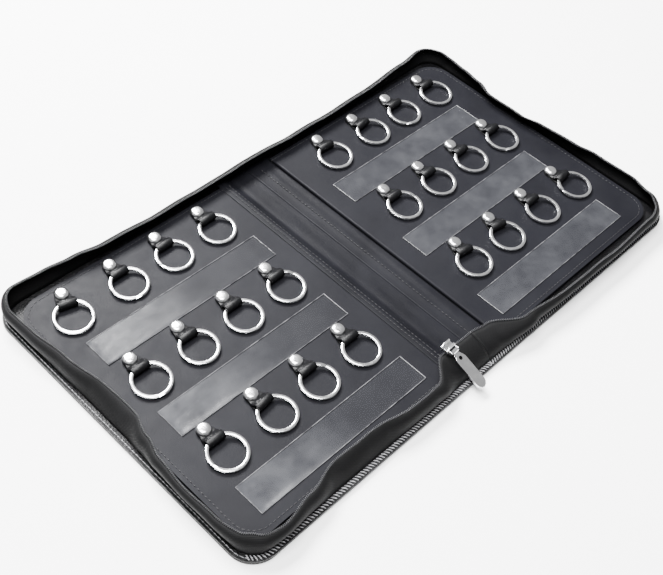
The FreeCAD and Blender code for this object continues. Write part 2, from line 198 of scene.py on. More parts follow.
def thicken(obj, thickness, offset=0.0):
    """Give a sheet its thickness, and keep the result in the mesh."""
    modifier = obj.modifiers.new("thickness", "SOLIDIFY")
    modifier.thickness = thickness * MM
    modifier.offset = offset
    return apply_modifiers(obj)


def apply_modifiers(obj):
    """Keep what an object's modifiers make, and drop the modifiers."""
    graph = bpy.context.evaluated_depsgraph_get()
    mesh = bpy.data.meshes.new_from_object(obj.evaluated_get(graph))
    obj.modifiers.clear()
    obj.data = mesh
    return obj


def arc(centre, radius, start, end, steps):
    """Points on an arc, angles in degrees."""
    spots = []
    for step in range(steps + 1):
        angle = math.radians(start + (end - start) * step / steps)
        spots.append((centre[0] + radius * math.cos(angle), centre[1] + radius * math.sin(angle)))
    return spots


def page_outline(start, reach, half, corner, side, steps=14):
    """Outline of a page shape with two round corners at its fore edge."""
    spots = [(start, -half)] + arc((reach - corner, corner - half), corner, -90, 0, steps)
    spots += arc((reach - corner, half - corner), corner, 0, 90, steps) + [(start, half)]
    return [(side * x, y) for x, y in spots]


def slab(name, outline, low, high, bevel, cuts=(), segments=4):
    """A flat plate on an outline, its edges rounded over, cut across at the given places."""
    work = bmesh.new()
    bottom = [work.verts.new(Vector((x, y, low)) * MM) for x, y in outline]
    top = [work.verts.new(Vector((x, y, high)) * MM) for x, y in outline]
    count = len(outline)
    faces = [work.faces.new(bottom), work.faces.new(top)]
    for index in range(count):
        beside = (index + 1) % count
        work.faces.new((bottom[index], bottom[beside], top[beside], top[index]))
    rim = [edge for face in faces for edge in face.edges]
    bmesh.ops.bevel(work, geom=rim, offset=bevel * MM, segments=segments, profile=0.5,
                    affect="EDGES")
    for place in cuts:
        geometry = work.verts[:] + work.edges[:] + work.faces[:]
        bmesh.ops.bisect_plane(work, geom=geometry, dist=1e-7,
                               plane_co=Vector((place, 0, 0)) * MM, plane_no=(1, 0, 0))
    mesh = bpy.data.meshes.new(name)
    work.to_mesh(mesh)
    work.free()
    obj = link_mesh(name, mesh, SHARP_BEVELLED)
    modifier = obj.modifiers.new("flat faces stay flat", "WEIGHTED_NORMAL")
    modifier.keep_sharp = True
    return apply_modifiers(obj)


def eased(value):
    """A value held between 0 and 1, with a soft start and end."""
    share = min(max(value, 0.0), 1.0)
    return share * share * (3 - 2 * share)


def bezier(first, first_handle, last_handle, last, steps):
    """Points on a cubic curve."""
    spots = []
    for step in range(steps + 1):
        t = step / steps
        weights = ((1 - t) ** 3, 3 * t * (1 - t) ** 2, 3 * t * t * (1 - t), t ** 3)
        knots = (first, first_handle, last_handle, last)
        spots.append(tuple(sum(w * knot[axis] for w, knot in zip(weights, knots))
                           for axis in range(len(first))))
    return spots


# ---------------- materials

class Surface:
    """A material with its shader, and short ways to add the nodes that feed it."""

    def __init__(self, name, **values):
        self.material = bpy.data.materials.new(name)
        self.material.use_nodes = True
        self.tree = self.material.node_tree
        self.shader = self.tree.nodes["Principled BSDF"]
        self.place = self.tree.nodes.new("ShaderNodeTexCoord").outputs["Object"]
        for key, value in values.items():
            self.shader.inputs[key.replace("_", " ")].default_value = value

    def node(self, kind, settings=(), **inputs):
        made = self.tree.nodes.new(kind)
        for key, value in dict(settings).items():
            setattr(made, key, value)
        for key, value in inputs.items():
            socket = made.inputs[key.replace("_", " ")]
            if isinstance(value, bpy.types.NodeSocket):
                self.tree.links.new(value, socket)
            else:
                socket.default_value = value
        return made

    def stretched(self, scale):
        """The surface's place with each axis scaled."""
        return self.node("ShaderNodeMapping", Vector=self.place, Scale=scale).outputs["Vector"]

    def noise(self, scale, detail=3.0, roughness=0.55, place=None):
        vector = place or self.place
        made = self.node("ShaderNodeTexNoise", Vector=vector, Scale=scale, Detail=detail,
                         Roughness=roughness)
        return made.outputs["Fac"]

    def cells(self, scale):
        made = self.node("ShaderNodeTexVoronoi", {"feature": "DISTANCE_TO_EDGE"},
                         Vector=self.place, Scale=scale)
        return made.outputs["Distance"]

    def waves(self, scale, direction="X", distortion=0.0, place=None):
        vector = place or self.place
        made = self.node("ShaderNodeTexWave", {"bands_direction": direction}, Vector=vector,
                         Scale=scale, Distortion=distortion)
        return made.outputs["Fac"]

    def level(self, source, low, high, start=0.0, end=1.0):
        made = self.node("ShaderNodeMapRange", Value=source, From_Min=low, From_Max=high,
                         To_Min=start, To_Max=end)
        return made.outputs["Result"]

    def maths(self, operation, first, second):
        made = self.tree.nodes.new("ShaderNodeMath")
        made.operation = operation
        for socket, value in zip(made.inputs, (first, second)):
            if isinstance(value, bpy.types.NodeSocket):
                self.tree.links.new(value, socket)
            else:
                socket.default_value = value
        return made.outputs["Value"]

    def tint(self, source, *stops):
        """Colour the surface by a ramp of (position, colour) stops."""
        made = self.node("ShaderNodeValToRGB", Fac=source)
        ramp = made.color_ramp
        while len(ramp.elements) < len(stops):
            ramp.elements.new(0.5)
        for element, (position, colour) in zip(ramp.elements, stops):
            element.position = position
            element.color = (*colour, 1)
        self.feed("Base Color", made.outputs["Color"])

    def rough(self, source, start, end, low=0.3, high=0.7):
        """Run the roughness from start to end as the source goes from low to high."""
        self.feed("Roughness", self.level(source, low, high, start, end))

    def feed(self, socket, source):
        self.tree.links.new(source, self.shader.inputs[socket])

    def bump(self, height, distance, strength=1.0):
        """Add a bump under those already there; distance is in millimetres."""
        made = self.node("ShaderNodeBump", Height=height, Distance=distance * MM,
                         Strength=strength)
        before = self.shader.inputs["Normal"].links
        if before:
            self.tree.links.new(before[0].from_socket, made.inputs["Normal"])
        self.feed("Normal", made.outputs["Normal"])


def outer_leather():
    """Black grained imitation leather with a half gloss."""
    skin = Surface("outer_leather", Coat_Weight=0.02, Coat_Roughness=0.2,
                   Specular_IOR_Level=0.12)
    grain = skin.cells(620)
    tone = skin.noise(60, 4)
    skin.tint(tone, (0.3, (0.0008, 0.0008, 0.0010)), (0.75, (0.0022, 0.0022, 0.0027)))
    skin.rough(skin.noise(140, 3), 0.32, 0.5)
    skin.bump(skin.level(grain, 0.0, 0.25), 0.16)
    skin.bump(skin.noise(2400, 2), 0.03)
    skin.bump(skin.noise(45, 2), 0.35, 0.5)
    return skin.material


def panel_leather():
    """Smooth dark grey imitation leather with a soft sheen and faint creases."""
    skin = Surface("panel_leather", Sheen_Weight=0.002, Sheen_Roughness=0.4,
                   Specular_IOR_Level=0.05, Coat_Weight=0.004, Coat_Roughness=0.35)
    tone = skin.noise(26, 4, 0.5)
    skin.tint(tone, (0.28, (0.0036, 0.0036, 0.0048)), (0.75, (0.0058, 0.0059, 0.0075)))
    skin.rough(skin.noise(90, 4), 0.38, 0.52)
    skin.bump(skin.level(skin.cells(1400), 0.0, 0.3), 0.035)
    skin.bump(skin.noise(30, 2, 0.4), 0.5, 0.45)
    return skin.material


def spine_leather():
    """The softer lining over the spine, with creases along the folds."""
    skin = Surface("spine_lining_leather", Sheen_Weight=0.002, Sheen_Roughness=0.4,
                   Specular_IOR_Level=0.05, Coat_Weight=0.004, Coat_Roughness=0.33)
    tone = skin.noise(30, 4, 0.5)
    skin.tint(tone, (0.28, (0.0028, 0.0028, 0.0037)), (0.75, (0.0058, 0.0059, 0.0075)))
    skin.rough(skin.noise(90, 4), 0.34, 0.5)
    skin.bump(skin.level(skin.cells(1400), 0.0, 0.3), 0.035)
    skin.bump(skin.noise(1, 4, 0.6, skin.stretched((330, 34, 330))), 0.3, 0.4)
    return skin.material


def tab_leather():
    """Black leather strap with a fine grain."""
    skin = Surface("tab_leather", Coat_Weight=0.02, Coat_Roughness=0.3, Specular_IOR_Level=0.14)
    tone = skin.noise(300, 4)
    skin.tint(tone, (0.3, (0.0010, 0.0010, 0.0013)), (0.8, (0.0028, 0.0028, 0.0034)))
    skin.rough(skin.noise(500, 3), 0.35, 0.5)
    skin.bump(skin.level(skin.cells(1500), 0.0, 0.3), 0.05)
    return skin.material


def gusset_cloth():
    """Black woven tape with a fine crossed weave."""
    skin = Surface("gusset_cloth", Sheen_Weight=0.002, Sheen_Roughness=0.5,
                   Specular_IOR_Level=0.09)
    weave = skin.maths("MULTIPLY", skin.waves(420, "DIAGONAL"),
                       skin.waves(420, "DIAGONAL", 0, skin.stretched((-1, 1, 1))))
    tone = skin.noise(40, 3)
    skin.tint(tone, (0.3, (0.0004, 0.0004, 0.0005)), (0.8, (0.0012, 0.0012, 0.0015)))
    skin.rough(weave, 0.72, 0.5, 0.0, 1.0)
    skin.bump(weave, 0.06)
    skin.bump(skin.noise(80, 3), 0.4, 0.6)
    return skin.material


def thread(name, dark, pale, rough, depth):
    """Twisted polyester thread, its twist painted into the colour as shade in the grooves and
    highlight on the plies, from dark to pale.
    """
    skin = Surface(name, Sheen_Weight=0.02, Specular_IOR_Level=0.3)
    twist = skin.waves(420, "DIAGONAL", 1.0)
    # Painted shade and highlight: the colour runs from dark to pale along the twist.
    skin.tint(twist, (0.1, dark), (0.8, pale))
    skin.rough(twist, *rough, 0.0, 1.0)
    skin.bump(twist, depth)
    return skin.material


def zip_coil():
    """Black nylon coil, coloured dark grey: the lift above black is partly a painted sheen."""
    skin = Surface("zip_coil", Specular_IOR_Level=0.55)
    tone = skin.noise(500, 3)
    # The nylon is black; its dark grey tone is partly a painted sheen for the light along the zip's
    # rim.
    skin.tint(tone, (0.25, (0.012, 0.012, 0.0135)), (0.75, (0.03, 0.03, 0.033)))
    skin.rough(skin.noise(900, 2), 0.3, 0.45)
    skin.bump(tone, 0.04)
    return skin.material


def nickel():
    """Bright nickel plate with fine handling marks."""
    skin = Surface("nickel", Metallic=1.0, Specular_IOR_Level=0.5)
    tone = skin.noise(180, 3)
    marks = skin.noise(1, 2, 0.5, skin.stretched((1600, 300, 1600)))
    skin.tint(tone, (0.3, (0.68, 0.68, 0.69)), (0.8, (0.82, 0.82, 0.83)))
    skin.rough(marks, 0.16, 0.26, 0.35)
    skin.bump(marks, 0.003)
    return skin.material


def label_film(name, far_end, near_end):
    """Clear vinyl: two ends as (x in mm, opacity), even in between; the opacity is the film's
    slight milkiness plus a painted sheen where it climbs towards one end.
    """
    skin = Surface(name, Specular_IOR_Level=0.14, Coat_Weight=0.02, Coat_Roughness=0.1, IOR=1.45)
    tone = skin.noise(70, 4)
    skin.tint(tone, (0.3, (0.036, 0.037, 0.042)), (0.75, (0.075, 0.077, 0.084)))
    across = skin.node("ShaderNodeSeparateXYZ", Vector=skin.place).outputs["X"]
    # Opacity along x: the vinyl's slight milkiness, and where it climbs towards the far end, a
    # painted highlight.
    milkiness_and_painted_sheen = skin.level(across, far_end[0] * MM, near_end[0] * MM, far_end[1], near_end[1])
    cloudy = skin.level(skin.noise(35, 3), 0.35, 0.7, 0.86, 1.14)
    skin.feed("Alpha", skin.maths("MULTIPLY", milkiness_and_painted_sheen, cloudy))
    skin.rough(skin.noise(160, 3), 0.2, 0.38)
    skin.bump(skin.noise(1, 2, 0.45, skin.stretched((40, 110, 40))), 0.3, 0.5)
    return skin.material


def painted_film_edge_highlight():
    """The cut and welded edge of the vinyl, painted pale and opaque as the highlight it catches."""
    skin = Surface("painted_film_edge_highlight", Specular_IOR_Level=0.6)
    tone = skin.noise(160, 4)
    # Painted highlight: the clear edge is coloured light grey.
    skin.tint(tone, (0.35, (0.022, 0.022, 0.024)), (0.7, (0.11, 0.11, 0.116)))
    skin.rough(tone, 0.2, 0.4)
    skin.bump(tone, 0.05)
    return skin.material


OUTER = outer_leather()
PANEL = panel_leather()
SPINE = spine_leather()
TAB = tab_leather()
CLOTH = gusset_cloth()
THREAD = thread("thread", (0.09, 0.09, 0.095), (0.32, 0.32, 0.335), (0.65, 0.45), 0.12)
DARK_THREAD = thread("dark_thread", (0.0016, 0.0016, 0.002), (0.006, 0.006, 0.0075),
                     (0.6, 0.42), 0.1)
COIL = zip_coil()
NICKEL = nickel()
# The left film's opacity climbs from 0.04 to 0.36 towards its far end as a painted highlight; the
# right film's is an even milkiness.
FILMS = {"left": label_film("left_label_film", (-170, 0.36), (-90, 0.04)),
         "right": label_film("right_label_film", (33, 0.15), (163, 0.17))}
FILM_EDGE_HIGHLIGHT = painted_film_edge_highlight()


# ---------------- the cover's edge as a path

STRAIGHT = REACH - CORNER
QUARTER = math.pi / 2 * CORNER
FORE = 2 * (HALF - CORNER)
PATH_LENGTH = 2 * STRAIGHT + 2 * QUARTER + FORE


def edge_at(distance, inset, side):
    """Place and outward direction on a page's edge.

    The path starts at the spine's lower end, runs out along the bottom edge, round the
    fore edge and back along the top edge to the spine's upper end.
    """
    if distance <= STRAIGHT:
        spot, out = (distance, -HALF), (0.0, -1.0)
    elif distance <= STRAIGHT + QUARTER:
        angle = (distance - STRAIGHT) / CORNER - math.pi / 2
        out = (math.cos(angle), math.sin(angle))
        spot = (STRAIGHT + CORNER * out[0], CORNER - HALF + CORNER * out[1])
    elif distance <= STRAIGHT + QUARTER + FORE:
        spot, out = (REACH, CORNER - HALF + distance - STRAIGHT - QUARTER), (1.0, 0.0)
    elif distance <= STRAIGHT + 2 * QUARTER + FORE:
        angle = (distance - STRAIGHT - QUARTER - FORE) / CORNER
        out = (math.cos(angle), math.sin(angle))
        spot = (STRAIGHT + CORNER * out[0], HALF - CORNER + CORNER * out[1])
    else:
        spot, out = (PATH_LENGTH - distance, HALF), (0.0, 1.0)
    place = (side * (spot[0] - inset * out[0]), spot[1] - inset * out[1])
    return place, (side * out[0], out[1])


def smooth_between(knots, distance):
    """A smooth curve through (distance, amount) knots."""
    for (start, low), (end, high) in zip(knots, knots[1:]):
        if distance <= end:
            return low + (high - low) * eased((distance - start) / (end - start))
    return knots[-1][1]


# How far the gusset's rim stands in from the cover's edge, by distance along the path.
RIM_LEAN = {
    "left": [(0, 21), (26, 21.5), (44, 8.5), (67, 8.6), (98, 14), (120, 14.2), (147, 8.6),
             (168, 4.6), (192, 9), (222, 3.5), (246, 3), (265, 5), (280, 9), (297, 14),
             (320, 13), (349, 8.5), (375, 5.5), (400, 4), (420, 1.5), (440, 2.5), (460, 5),
             (480, 8.5), (525, 10), (563, 10), (600, 9)],
    "right": [(0, 21), (12, 19), (36, 6.5), (74, 2.5), (107, 1.6), (141, 1.2), (168, 2.5),
              (190, 8), (208, 7.4), (223, 4), (253, 4.8), (268, 7.7), (298, 10.3), (313, 13),
              (343, 13.2), (358, 9.4), (373, 6.5), (388, 5), (400, 4), (420, 2), (440, 5),
              (486, 9), (533, 10.5), (563, 10), (600, 9)],
}
# Width of the cloth from the cover to the rim: it is widest where the zip crosses the spine.
GUSSET_WIDTH = [(0, 21.8), (26, 21.8), (48, 14.6), (600, 14.6)]
GUSSET_FOOT = 4.2
GUSSET_SKIN = 0.7
RIM_HIGH = 15.0
RIM_STEPS = 10
STATION = 1.5
CALM_REACH = 24.0
RIPPLE_RUN = 23
RIPPLE = 0.8
CRUMPLE = 0.4
RIM_SAG = 0.05
RIM_SHARE = 0.97


def rim_height(run, width):
    """Height of the rim over the table: the further it leans, the lower it lies."""
    straight = math.sqrt(max(width ** 2 - run ** 2, 0.0))
    return min(RIM_HIGH - RIM_SAG * max(run, 0.0), COVER_TOP + RIM_SHARE * straight)


def gusset_section(lean, width, crumple):
    """The gusset's section as (lean, height) points, bowed out so that its width is real."""
    foot = (GUSSET_FOOT, COVER_TOP + 0.1)
    rim = (lean, rim_height(lean - GUSSET_FOOT, width))
    rise, run = rim[1] - foot[1], rim[0] - foot[0]
    low, high = 0.0, 14.0
    for _ in range(18):
        bow = (low + high) / 2
        first = (foot[0] - 0.35 * bow + 0.1 * run, foot[1] + 0.42 * rise + 0.1 * bow)
        last = (foot[0] + run * 0.55 - bow * 0.55 * (1 + crumple), foot[1] + 0.92 * rise)
        spots = bezier(foot, first, last, rim, RIM_STEPS)
        length = sum(math.dist(a, b) for a, b in zip(spots, spots[1:]))
        if length < width:
            low = bow
        else:
            high = bow
    return spots


def gusset_rows(side_name):
    """Sections of one page's gusset along the cover's edge."""
    side = SIDES[side_name]
    rows = []
    count = round(PATH_LENGTH / STATION)
    for step in range(count + 1):
        distance = PATH_LENGTH * step / count
        lean = smooth_between(RIM_LEAN[side_name], distance)
        calm = min(distance, PATH_LENGTH - distance) / CALM_REACH
        ripple = noise.noise(Vector((distance / RIPPLE_RUN, side * 7.0, 0.0))) * min(calm, 1.0)
        lean += RIPPLE * ripple
        row = []
        width = smooth_between(GUSSET_WIDTH, distance)
        for inset, height in gusset_section(lean, width, CRUMPLE * ripple):
            place, _ = edge_at(distance, inset, side)
            row.append((place[0], place[1], height))
        rows.append(row)
    return rows


def rim_path(rows):
    """The gusset's rim, as points."""
    return [Vector(row[-1]) for row in rows]


def spine_blend(side_name):
    """The pair of bodies on each side of a page's fold, and the fold's place."""
    if side_name == "left":
        return ("left_half", "spine", -FOLD)
    return ("spine", "right_half", FOLD)


def make_gusset(side_name):
    """The soft gusset and zip tape, a strip of cloth standing on the cover's edge."""
    rows = gusset_rows(side_name)
    cloth = lattice(f"{side_name}_gusset", rows, sharp=SMOOTH)
    thicken(cloth, GUSSET_SKIN)
    replaced = [f"{side_name}_gusset_wall"]
    if side_name == "left":
        replaced += ["top_tape_end", "bottom_tape_end"]
    finish_piece(cloth, CLOTH, replaces=replaced, blend=spine_blend(side_name))
    return rows


# ---------------- strips along a path

def frames_along(path):
    """Direction, sideways and up vectors at each point of a path."""
    found = []
    for index, spot in enumerate(path):
        before, after = path[max(index - 1, 0)], path[min(index + 1, len(path) - 1)]
        forward = (after - before).normalized()
        sideways = forward.cross(Vector((0, 0, 1))).normalized()
        found.append((spot, forward, sideways, sideways.cross(forward)))
    return found


def resample(path, pitch):
    """Points at an even pitch along a path."""
    lengths = [0.0]
    for first, second in zip(path, path[1:]):
        lengths.append(lengths[-1] + (second - first).length)
    count = max(2, round(lengths[-1] / pitch))
    spots, index = [], 0
    for step in range(count + 1):
        distance = lengths[-1] * step / count
        while index < len(lengths) - 2 and lengths[index + 1] < distance:
            index += 1
        span = lengths[index + 1] - lengths[index]
        share = (distance - lengths[index]) / span if span else 0.0
        spots.append(path[index].lerp(path[index + 1], share))
    return spots


# Each seam's pitch, and the length, width and height of its stitches.
WHIPPED_SEAM = (2.1, 3.6, 0.75, 0.7)
RUNNING_SEAM = (3.1, 2.8, 0.45, 0.5)
OUTER_SEAM = (2.9, 2.3, 0.7, 0.3)
LINING_SEAM = (3.0, 2.3, 0.6, 0.4)
PANEL_SEAM = (3.0, 2.3, 0.55, 0.35)
STITCH_RINGS = 5
STITCH_AROUND = 6


def stitches(name, path, seam, slant=0.0):
    """A row of stitches: short plump threads that dip at both ends."""
    pitch, length, width, height = seam
    rings, around = STITCH_RINGS, STITCH_AROUND
    points, faces = [], []
    for spot, forward, sideways, up in frames_along(resample(path, pitch)):
        along = (forward * math.cos(slant) + sideways * math.sin(slant)).normalized()
        across = up.cross(along)
        start = len(points)
        for ring in range(rings):
            t = ring / (rings - 1)
            swell = 0.35 + 0.65 * math.sin(math.pi * t)
            centre = spot + along * (t - 0.5) * length + up * height * (swell - 0.6)
            for turn in range(around):
                angle = 2 * math.pi * turn / around
                points.append(centre + across * (0.5 * width * swell * math.cos(angle))
                              + up * (0.5 * height * swell * math.sin(angle)))
        faces += lattice_faces(rings, around, start, True)
        faces.append(tuple(start + turn for turn in range(around)))
        faces.append(tuple(start + (rings - 1) * around + turn for turn in range(around)))
    return piece(name, points, faces, SMOOTH)


COIL_RADIUS = 0.42
COIL_WIRE = 0.17
COIL_PITCH = 1.1
COIL_TURN_STEPS = 9
COIL_AROUND = 5
COIL_RISE = 0.5
COIL_WIDE = 1.25
COIL_SLANT = 0.25


def make_coil(side_name, rows):
    """The zip's nylon coil, sewn along the gusset's rim."""
    rim = resample(rim_path(rows), COIL_PITCH / COIL_TURN_STEPS)
    points, faces = [], []
    for index, (spot, forward, sideways, up) in enumerate(frames_along(rim)):
        angle = 2 * math.pi * index / COIL_TURN_STEPS
        radial = sideways * math.cos(angle) * COIL_WIDE + up * math.sin(angle)
        middle = spot + up * COIL_RISE + radial * COIL_RADIUS
        tangent = (up * math.cos(angle) - sideways * math.sin(angle)
                   + forward * COIL_SLANT).normalized()
        beside = tangent.cross(forward).normalized()
        over = tangent.cross(beside)
        for turn in range(COIL_AROUND):
            spin = 2 * math.pi * turn / COIL_AROUND
            points.append(middle + COIL_WIRE * (beside * math.cos(spin) + over * math.sin(spin)))
    faces = lattice_faces(len(rim), COIL_AROUND, 0, True)
    coil = piece(f"{side_name}_zip_coil", points, faces, SMOOTH)
    finish_piece(coil, COIL, replaces=[f"{side_name}_zip_chain"],
                 blend=spine_blend(side_name))


def edge_path(side_name, inset, height, start=0.0, end=PATH_LENGTH):
    """A path along the cover's edge at an inset and a height."""
    side = SIDES[side_name]
    count = round((end - start) / STATION)
    spots = []
    for step in range(count + 1):
        place, _ = edge_at(start + (end - start) * step / count, inset, side)
        spots.append(Vector((place[0], place[1], height)))
    return spots


# ---------------- covers

EDGE_ROUND = 1.0
FOLD_CUT = 0.75
FOLD_REACH = 9.0
GROOVE_HALF = 2.2
GROOVE_DEEP = 0.55
UNDERSIDE = 0.4
WHIPPED_INSET = 2.2
WHIPPED_ROUND = 0.6
EDGE_SEAM_OVER = 0.12
RUNNING_INSET = 1.6
OUTER_SEAM_INSET = 4.0
OUTER_SEAM_HIGH = 0.16


def fold_cuts(side):
    """Where a cover is cut across, from the spine's middle to just past its fold."""
    count = round((FOLD + FOLD_REACH) / FOLD_CUT)
    return [side * (step + 0.5) * FOLD_CUT for step in range(count)]


def make_cover(side_name):
    """One page's outer shell with its half of the spine, grooved outside at the fold."""
    side = SIDES[side_name]
    outline = page_outline(0, REACH, HALF, CORNER, side)
    cover = slab(f"{side_name}_cover", outline, 0, COVER_TOP, EDGE_ROUND, fold_cuts(side), 5)
    for vertex in cover.data.vertices:
        away = (abs(vertex.co.x) / MM - FOLD) / GROOVE_HALF
        if vertex.co.z < UNDERSIDE * MM:
            vertex.co.z += GROOVE_DEEP * MM * math.exp(-away * away)
    replaced = [f"{side_name}_{name}" for name in
                ("cover_leather", "cover_board", "cover_lining", "edge_binding")]
    if side_name == "left":
        replaced += ["spine_leather", "spine_board", "spine_lining"]
    finish_piece(cover, OUTER, replaces=replaced, blend=spine_blend(side_name))


def make_edge_stitches(side_name):
    """Pale thread over the cover's edge: whipped along the bottom, running round the rest."""
    turn = STRAIGHT + QUARTER * WHIPPED_ROUND
    height = COVER_TOP + EDGE_SEAM_OVER
    whipped = stitches("whipped", edge_path(side_name, WHIPPED_INSET, height, 0.0, turn),
                       WHIPPED_SEAM, slant=SIDES[side_name] * -1.0)
    running = stitches("running", edge_path(side_name, RUNNING_INSET, height, turn, PATH_LENGTH),
                       RUNNING_SEAM)
    row = join(f"{side_name}_edge_stitches", [whipped, running])
    finish_piece(row, THREAD, blend=spine_blend(side_name))


def make_outer_stitches(side_name):
    """The same seam seen on the outside of the cover."""
    path = edge_path(side_name, OUTER_SEAM_INSET, OUTER_SEAM_HIGH)
    row = stitches(f"{side_name}_outer_stitches", path, OUTER_SEAM)
    finish_piece(row, DARK_THREAD, blend=spine_blend(side_name))


# ---------------- key panels and spine lining

def make_panel(side_name):
    """The stiff leather-covered panel that carries the tabs."""
    side = SIDES[side_name]
    outline = page_outline(PANEL_START[side_name], PANEL_HIGH.x, PANEL_HIGH.y, PANEL_CORNER, side)
    panel = slab(f"{side_name}_panel", outline, COVER_TOP, PANEL_TOP, PANEL_ROUND, (), 5)
    replaced = [f"{side_name}_panel_board", f"{side_name}_panel_leather"]
    finish_piece(panel, PANEL, body=f"{side_name}_half", replaces=replaced)


LINING_STEP = 3.0
LINING_RISE_START = 15.0
LINING_RISE_RUN = 8.0
LINING_WRINKLE = 0.18
LINING_SKIN = 0.4
LINING_OVER_COVER = 0.25
LINING_OVER_PANEL = 0.35
LINING_PAST_PANEL = 4.0
LINING_REACH = {"left": 27.5, "right": PANEL_START["right"] + 1.5}
LINING_SEAMS = {"left": (21.6, 24.4), "right": (7.5,)}
LINING_SEAM_STEPS = 100


def lining_height(side_name, distance, y):
    """Height of the lining over the spine, by distance from the spine's middle."""
    height = COVER_TOP + LINING_OVER_COVER
    if side_name == "left":
        rise = PANEL_TOP + LINING_OVER_PANEL - height
        height += eased((distance - LINING_RISE_START) / LINING_RISE_RUN) * rise
    wrinkle = noise.noise(Vector((distance / 5.0, y / 60.0, 3.0 if side_name == "left" else 9.0)))
    soft = math.exp(-((distance - FOLD) / 6.0) ** 2)
    return height + LINING_WRINKLE * (1 + wrinkle) * (0.4 + soft)


def make_lining(side_name):
    """The soft lining from a panel's edge to the middle of the spine."""
    side = SIDES[side_name]
    reach = LINING_REACH[side_name]
    across = round(reach / FOLD_CUT)
    half = PANEL_HIGH.y + LINING_PAST_PANEL
    along = round(2 * half / LINING_STEP)
    rows = []
    for step in range(along + 1):
        y = -half + 2 * half * step / along
        row = []
        for column in range(across + 1):
            distance = reach * column / across
            row.append((side * distance, y, lining_height(side_name, distance, y)))
        rows.append(row)
    lining = lattice(f"{side_name}_spine_lining", rows, sharp=SMOOTH)
    thicken(lining, LINING_SKIN, -1.0)
    finish_piece(lining, SPINE, blend=spine_blend(side_name))


def make_lining_stitches(side_name):
    """Rows of fine stitches along the spine."""
    side = SIDES[side_name]
    half = PANEL_HIGH.y - LINING_PAST_PANEL
    for number, distance in enumerate(LINING_SEAMS[side_name], start=1):
        path = []
        for step in range(LINING_SEAM_STEPS + 1):
            y = -half + 2 * half * step / LINING_SEAM_STEPS
            path.append(Vector((side * distance, y, lining_height(side_name, distance, y) + 0.2)))
        row = stitches(f"{side_name}_lining_stitches_{number}", path, LINING_SEAM)
        finish_piece(row, DARK_THREAD, blend=spine_blend(side_name))


def make_panel_edge(side_name):
    """A row of fine stitches round the free edges of a panel."""
    side = SIDES[side_name]
    inset = PANEL_SEAM_INSET
    outline = page_outline(PANEL_START[side_name], PANEL_HIGH.x - inset, PANEL_HIGH.y - inset,
                           PANEL_CORNER - inset, side)
    path = [Vector((x, y, PANEL_TOP + 0.08)) for x, y in outline]
    row = stitches(f"{side_name}_panel_stitches", path, PANEL_SEAM)
    finish_piece(row, DARK_THREAD, body=f"{side_name}_half")


# ---------------- tabs, rivets, rings, windows

STRAP = 1.05
LOOP_DROP = 9.2
STRAP_HALF = 6.0
NOSE_RADIUS = 4.4
LOOP_MIDDLE = 2.2


def tab_line():
    """The middle of a tab's strap: under the rivet, round the ring, back over the rivet."""
    low = PANEL_TOP + STRAP / 2 + 0.02
    high = low + STRAP + 0.04
    ends = [NOSE_RADIUS * math.sin(math.radians(angle)) for angle in (86, 70, 50, 30, 15, 0)]
    line = [(y, low) for y in ends]
    line += [(y, low) for y in (-2.5, -5.0, -7.4)]
    line += arc((-LOOP_DROP, low + LOOP_MIDDLE), LOOP_MIDDLE, -90, -300, 18)
    start = line.pop()
    line += bezier(start, (start[0] + 1.3, start[1] - 0.8), (-5.6, high + 0.15), (-4.0, high), 8)
    line += [(y, high) for y in (-2.0, 0.0)] + [(y, high) for y in reversed(ends[:-1])]
    return line


def tab_half_width(y):
    """Half the strap's width at a place: full at the ring, narrower to a round nose."""
    if y <= 0:
        return NOSE_RADIUS + (STRAP_HALF - NOSE_RADIUS) * eased(-y / (LOOP_DROP - 2.0))
    return math.sqrt(max(NOSE_RADIUS ** 2 - y * y, 0.04))


def strap_section(wide):
    """Section of the strap as (across, through) points, its edges softly rounded."""
    soft = min(0.35, wide * 0.5)
    quarter = [(wide, 0.0), (wide - 0.08, 0.3), (wide - soft, 0.5)]
    upper = quarter + [(-across, through) for across, through in reversed(quarter)]
    return upper + [(across, -through) for across, through in reversed(upper[1:-1])]


def strap_solid(name, line, place, swivel):
    """A strap of real thickness along a line, turned about its rivet."""
    turned = Matrix.Rotation(swivel, 3, "Z")
    rows = []
    count = len(line)
    for index, (along, height) in enumerate(line):
        before, after = line[max(index - 1, 0)], line[min(index + 1, count - 1)]
        run = Vector((after[0] - before[0], after[1] - before[1])).normalized()
        row = []
        for across, through in strap_section(tab_half_width(along)):
            back = -run.y * through * STRAP
            lift = run.x * through * STRAP
            row.append(place + turned @ Vector((across, along + back, height + lift)))
        rows.append(row)
    return tube_lattice(name, rows)


def rivet_place(side_name, row, column):
    """The rivet's place for a tab, and the tab's swivel, from its ring's joint."""
    name = f"ring_{side_name}_row{row + 1}_col{column + 1}_swing"
    loop, swivel = joint_mm(name), joint_turn(name)
    return Vector((loop.x - LOOP_DROP * math.sin(swivel),
                   loop.y + LOOP_DROP * math.cos(swivel), 0)), swivel


def rivets_of(side_name):
    """Place and swivel of a page's twelve rivets."""
    return [rivet_place(side_name, row, column) for row in range(ROWS) for column in range(COLUMNS)]


def make_tabs(side_name):
    """Twelve folded leather tabs."""
    line = tab_line()
    straps = [strap_solid("strap", line, place, swivel) for place, swivel in rivets_of(side_name)]
    tabs = join(f"{side_name}_tabs", straps)
    finish_piece(tabs, TAB, body=f"{side_name}_half",
                 replaces=[f"{side_name}_key_tabs"])


RIVET_PROFILE = [(0.0, 2.16), (1.2, 2.14), (2.0, 2.1), (2.25, 2.05), (2.5, 2.05), (3.2, 1.82),
                 (3.9, 1.35), (4.35, 0.8), (4.55, 0.35), (4.5, 0.08), (4.3, 0.0), (3.6, 0.0),
                 (0.0, 0.0)]
RIVET_STEPS = 40
RIVET_LIFT = 0.08


